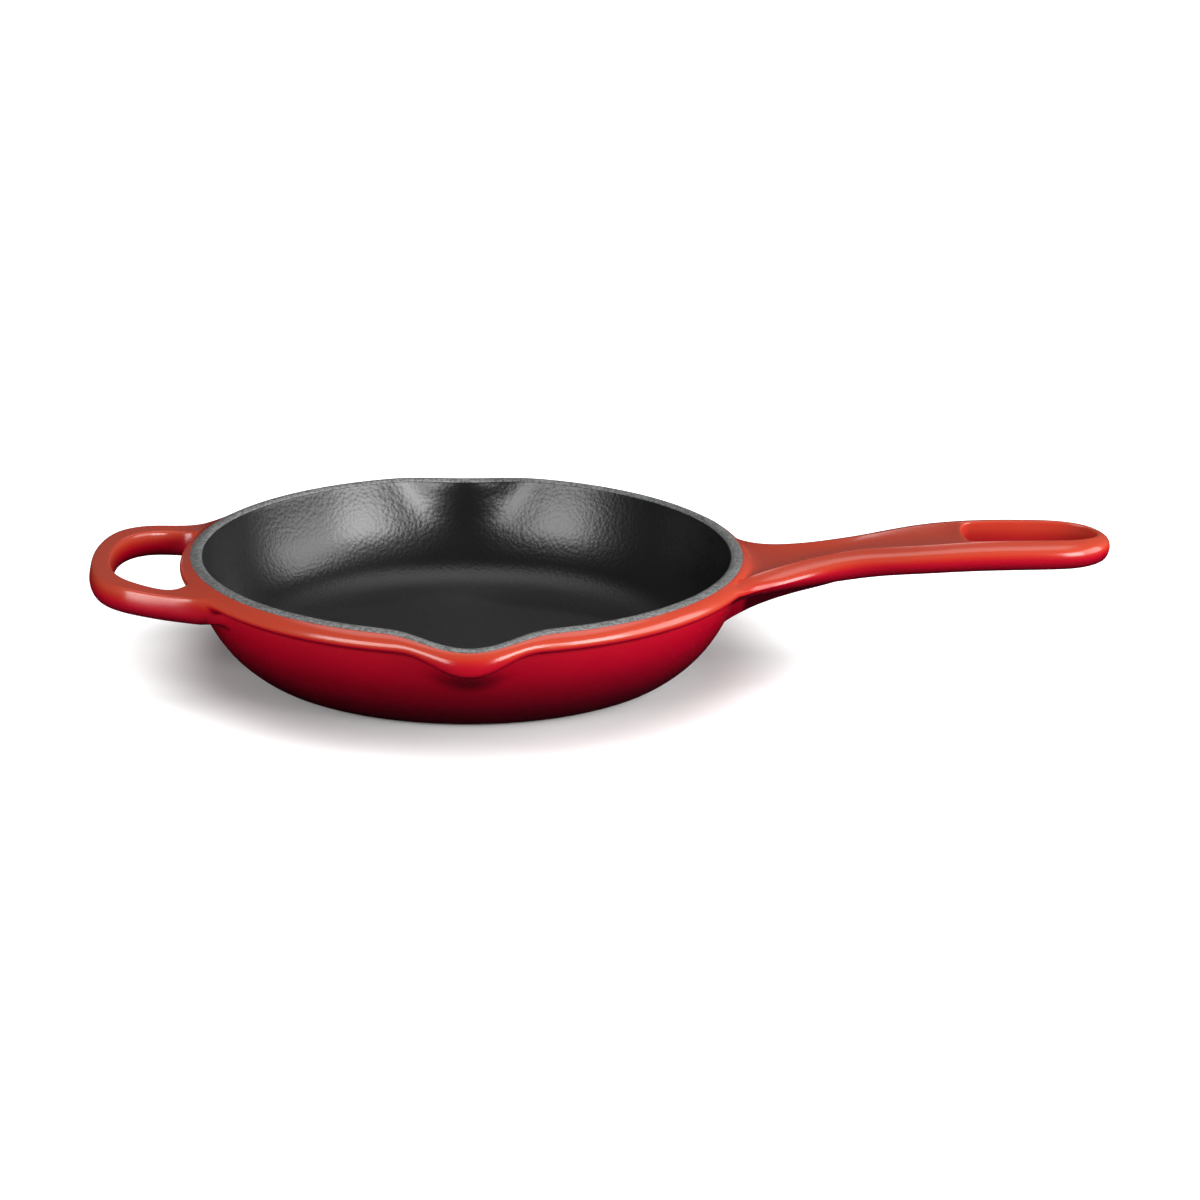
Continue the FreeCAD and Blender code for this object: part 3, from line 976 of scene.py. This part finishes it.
    def slotted_end(self, cage: Cage, start: list[int]) -> None:
        """Line the slot's end towards the bowl and carry the rails round the slot.

        Args:
            cage: The casting's cage.
            start: Loop of the section where the slot starts.
        """
        rail = self.rails[0]
        middle = len(self.shaft_tops) - 1                # number of the top's middle point
        left, right = middle - self.slot_reach, middle + self.slot_reach
        bottom = middle + len(start) // 2                # and of the underside's
        low_left, low_right = bottom + self.slot_reach, bottom - self.slot_reach
        top = start[left:right + 1]
        low = start[low_left:low_right - 1:-1]
        walls = []
        for point in top:
            p = cage.points[point] / MM
            walls.append([cage.add(p.x, p.y, mix(rail.bottom, rail.top, step),
                                   spray_and_shade=mix(self.slot_foot_shade, 1.0, step))
                          for step in self.wall_steps])
        columns = [[foot] + wall + [edge] for foot, wall, edge in zip(low, walls, top)]
        for one, other in zip(columns, columns[1:]):
            cage.bridge(one, other, closed=False)
        sprays_and_shades = (1.0,) * 3 + self.sprays_and_shades + self.sprays_and_shades[-1:] * 7 + self.slot_wall_shade
        path = [(r, 1.0) for r in self.rails[1:]]
        path += [(r, -1.0) for r in reversed(self.rails[1:-1])]
        loop = start[right:low_right + 1] + walls[-1]
        for section, flip in path:
            after = [cage.add(p.x, flip * p.y, p.z, spray_and_shade=spray_and_shade)
                     for p, spray_and_shade in zip(self.rail_points(section), sprays_and_shades)]
            cage.bridge(loop, after)
            loop = after
        cage.bridge(loop, start[left::-1] + start[:low_left - 1:-1] + walls[0])


# ---------------------------------------------------------------- helper handle


@dataclass
class HelperHandle:
    """Bail-shaped helper handle: a bar bent round from one side of the rim to the other."""

    columns: tuple[int, int] = (41, 44)   # root's columns, outer and inner
    rows: tuple[int, int] = (2, 12)
    # tone down the side from the top to the underside: thinner coat and painted shade towards
    # the underside
    sprays_and_shades: tuple[float, ...] = (1.0, 1.0, 0.95, 0.8, 0.66, 0.5, 0.36, 0.24, 0.16, 0.1)
    sections: tuple[Rail, ...] = (
        Rail((-105.6, 58.0), (-115.4, 37.7), 42.5, 31.0),
        Rail((-109.6, 55.3), (-117.9, 38.7), 41.8, 30.7),
        Rail((-114.4, 53.2), (-120.8, 39.1), 41.5, 30.6),
        Rail((-120.6, 51.6), (-124.2, 38.9), 41.7, 30.8),
        Rail((-127.6, 50.0), (-128.5, 37.5), 42.3, 31.4),
        Rail((-134.6, 47.9), (-132.8, 35.2), 42.9, 32.0),
        Rail((-141.1, 44.5), (-136.8, 31.9), 43.2, 32.4),
        Rail((-146.7, 39.2), (-140.3, 27.5), 43.35, 32.7),
        Rail((-150.8, 31.5), (-143.0, 21.7), 43.4, 32.8),
        Rail((-153.6, 21.9), (-144.8, 14.9), 43.4, 32.9),
        Rail((-155.4, 11.4), (-145.6, 7.6), 43.4, 32.9),
        Rail((-156.1, 0.0), (-145.8, 0.0), 43.4, 32.9),
    )

    def open(self, row: int, column: int) -> bool:
        """Say whether a root of the bar passes through a quad of the bowl's outside.

        Args:
            row: Number of the ring above the quad.
            column: Number of the quad's first column.

        Returns:
            True where the quad is left out.
        """
        outer, inner = self.columns
        mirrored = COLUMNS - 1 - column
        within = outer <= column < inner or outer <= mirrored < inner
        return self.rows[0] <= row < self.rows[1] and within

    def root_loop(self, grid: list[list[int]], mirrored: bool) -> list[int]:
        """Find the loop of the bowl's points at one root of the bar.

        Args:
            grid: Point numbers of the bowl's outside rings.
            mirrored: Whether it is the root on the -Y side.

        Returns:
            The loop's point numbers, in a section's order.
        """
        def pick(k: int) -> int:
            """Return a column's number on the root's own side."""
            return COLUMNS - k if mirrored else k

        outer, inner = self.columns
        up, down = self.rows
        loop = [grid[up][pick(k)] for k in range(outer, inner + 1)]
        loop += [grid[r][pick(inner)] for r in range(up + 1, down + 1)]
        loop += [grid[down][pick(k)] for k in range(inner - 1, outer - 1, -1)]
        loop += [grid[r][pick(outer)] for r in range(down - 1, up, -1)]
        return loop

    @staticmethod
    def section(s: Rail, flip: float) -> list[Vector]:
        """Shape a section of the bar.

        Args:
            s: The section.
            flip: 1 on the +Y side, -1 on the -Y side.

        Returns:
            Points inward over the top, down, out along the underside, and up.
        """
        outer, inner = Vector(s.outer), Vector(s.inner)
        inward = (inner - outer).normalized()
        side = [(2.5, s.top), (1.6, s.top - 0.25), (1.15, s.top - 0.9), (0.85, s.top - 2.1),
                (0.5, s.top - 3.7), (0.2, mix(s.top, s.bottom, 0.5)), (0.0, s.bottom + 3.7),
                (0.1, s.bottom + 2.3), (0.5, s.bottom + 1.15), (1.4, s.bottom + 0.35),
                (2.8, s.bottom)]
        near = [Vector((*(outer + inward * d), z)) for d, z in side]
        far = [Vector((*(inner - inward * d), z)) for d, z in side]
        ring = [near[0].lerp(far[0], i / 3) for i in range(4)] + far[1:]
        ring += [far[-1].lerp(near[-1], i / 3) for i in (1, 2)] + list(reversed(near[1:]))
        return [Vector((p.x, flip * p.y, p.z)) for p in ring]

    def graft(self, cage: Cage, grid: list[list[int]]) -> None:
        """Grow the bar out of the bowl on both sides and join it at the middle.

        Args:
            cage: The casting's cage.
            grid: Point numbers of the bowl's outside rings.
        """
        loop = self.root_loop(grid, False)
        path = [(s, 1.0) for s in self.sections]
        path += [(s, -1.0) for s in reversed(self.sections[:-1])]
        sprays_and_shades = (1.0,) * 4 + self.sprays_and_shades + self.sprays_and_shades[-1:] * 2 + self.sprays_and_shades[::-1]
        for s, flip in path:
            after = [cage.add(*p, spray_and_shade=spray_and_shade)
                     for p, spray_and_shade in zip(self.section(s, flip), sprays_and_shades)]
            cage.bridge(loop, after)
            loop = after
        cage.bridge(loop, self.root_loop(grid, True))


# ---------------------------------------------------------------- skillet


@dataclass
class Skillet:
    """The whole skillet: bowl, both handles and their enamel."""

    bowl: Bowl = field(default_factory=Bowl)
    long_handle: LongHandle = field(default_factory=LongHandle)
    helper: HelperHandle = field(default_factory=HelperHandle)

    def build(self) -> list[bpy.types.Object]:
        """Build and dress every piece.

        Returns:
            The glazed casting, the rim's ground coat and the interior enamel.
        """
        form = SpoutForm()
        cage, grid = self.bowl.casting()
        self.bowl.skin(cage, grid, lambda row, k: self.long_handle.open(row, k)
                       or self.helper.open(row, k))
        self.long_handle.graft(cage, grid, self.bowl)
        self.helper.graft(cage, grid)
        body = form.press(cage, "glazed_casting", FlameGlaze().build())
        rim = form.press(self.bowl.rim_cage(), "rim_ground_coat_skin", GroundCoat().build())
        lining = form.press(self.bowl.lining_cage(), "interior_enamel_skin",
                            SatinBlack().build())
        self._seat(body, Slot.FLAME, "bowl_casting", "long_handle_casting",
                   "helper_handle_casting", "rim_band_enamel", "wall_enamel",
                   "base_enamel", "long_handle_enamel", "helper_handle_enamel")
        self._seat(rim, Slot.GROUND, "rim_ground_coat")
        self._seat(lining, Slot.SATIN, "interior_enamel")
        return [body, rim, lining]

    @staticmethod
    def _seat(piece: bpy.types.Object, slot: Slot, *nodes: str) -> None:
        """Fix a piece to the frame in place of the CAD nodes that it stands for.

        Args:
            piece: The finished piece.
            slot: The piece's material slot; not used.
            *nodes: Names of the CAD nodes.
        """
        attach(piece, "root")
        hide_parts(*nodes)
        LOG.info("%s stands for %s", piece.name, ", ".join(nodes))


# ---------------------------------------------------------------- studio


@dataclass(frozen=True)
class Softbox:
    """One rectangular light, in metres and watts."""

    name: str
    place: tuple[float, float, float]
    target: tuple[float, float, float]
    size: tuple[float, float]
    watts: float


@dataclass
class Studio:
    """Pale floor, soft lights and the camera."""

    azimuth: float = -2.4           # degrees
    elevation: float = 17.57        # degrees above the table
    roll: float = 0.74              # degrees, about the line of sight
    distance: float = 1.663         # m
    aim: tuple[float, float] = (0.0553, 0.0249)   # right of the bowl's axis, and up, m
    lens: float = 120.0             # mm, on a sensor 36 mm wide
    room: float = 0.1               # strength of the even light all round
    floor_half: float = 6.0         # half width of the paper, m
    floor_drop: float = 0.1         # gap that keeps the paper clear of the base, mm
    boxes: tuple[Softbox, ...] = (
        Softbox("overhead", (0.05, 0.55, 1.6), (0.05, 0.0, 0.0), (1.5, 0.9), 8.0),
        Softbox("back", (0.3, 1.5, 1.15), (0.15, 0.0, 0.05), (0.3, 0.12), 0.6),
        Softbox("front_left", (-1.0, -1.0, 0.5), (0.0, 0.0, 0.03), (0.8, 0.85), 17.0),
        Softbox("front_right", (1.12, -0.94, 0.46), (0.0, 0.0, 0.03), (0.7, 0.8), 23.0),
        Softbox("right", (1.4, -0.1, 0.52), (0.0, 0.0, 0.03), (1.0, 1.0), 16.0),
    )

    def camera(self) -> None:
        """Place the camera, turned a little about its own axis."""
        a, e, r = (math.radians(v) for v in (self.azimuth, self.elevation, self.roll))
        back = Vector((math.sin(a) * math.cos(e), -math.cos(a) * math.cos(e), math.sin(e)))
        flat = Vector((0, 0, 1)).cross(back).normalized()
        upright = back.cross(flat)
        right = flat * math.cos(r) + upright * math.sin(r)
        up = upright * math.cos(r) - flat * math.sin(r)
        place = flat * self.aim[0] + Vector((0, 0, self.aim[1])) + back * self.distance
        eye = bpy.data.objects.new("camera", bpy.data.cameras.new("camera"))
        bpy.context.scene.collection.objects.link(eye)
        turn = Matrix((right, up, back)).transposed().to_4x4()
        eye.matrix_world = Matrix.Translation(place) @ turn
        eye.data.lens = self.lens
        eye.data.sensor_width = 36.0
        eye.data.clip_start, eye.data.clip_end = 0.05, 30.0
        bpy.context.scene.camera = eye

    def lights(self) -> None:
        """Hang the softboxes and light the room."""
        for box in self.boxes:
            lamp = bpy.data.lights.new(box.name, "AREA")
            lamp.shape = "RECTANGLE"
            lamp.size, lamp.size_y = box.size
            lamp.energy = box.watts
            held = bpy.data.objects.new(box.name, lamp)
            bpy.context.scene.collection.objects.link(held)
            held.location = box.place
            aim = Vector(box.target) - Vector(box.place)
            held.rotation_euler = aim.to_track_quat("-Z", "Y").to_euler()
        world = bpy.data.worlds.new("room")
        world.use_nodes = True
        sky = world.node_tree.nodes["Background"]
        sky.inputs["Color"].default_value = (1.0, 1.0, 1.0, 1.0)
        sky.inputs["Strength"].default_value = self.room
        bpy.context.scene.world = world

    def floor(self) -> None:
        """Lay the paper floor."""
        half, level = self.floor_half, -self.floor_drop * MM
        sheet = bpy.data.meshes.new("floor")
        sheet.from_pydata([(-half, -half, level), (half, -half, level), (half, half, level),
                           (-half, half, level)], [], [(0, 1, 2, 3)])
        sheet.materials.append(StudioPaper().build())
        laid = bpy.data.objects.new("floor", sheet)
        bpy.context.scene.collection.objects.link(laid)

    def build(self) -> None:
        """Set up the studio."""
        self.camera()
        self.lights()
        self.floor()
        bpy.context.scene.view_settings.view_transform = "Standard"


def main() -> None:
    """Build the studio and the skillet, and report each piece."""
    logging.basicConfig(level=logging.INFO, format="%(message)s")
    Studio().build()
    for piece in Skillet().build():
        LOG.info("%s: %d cage faces", piece.name, len(piece.data.polygons))


if __name__ == "__main__":
    main()
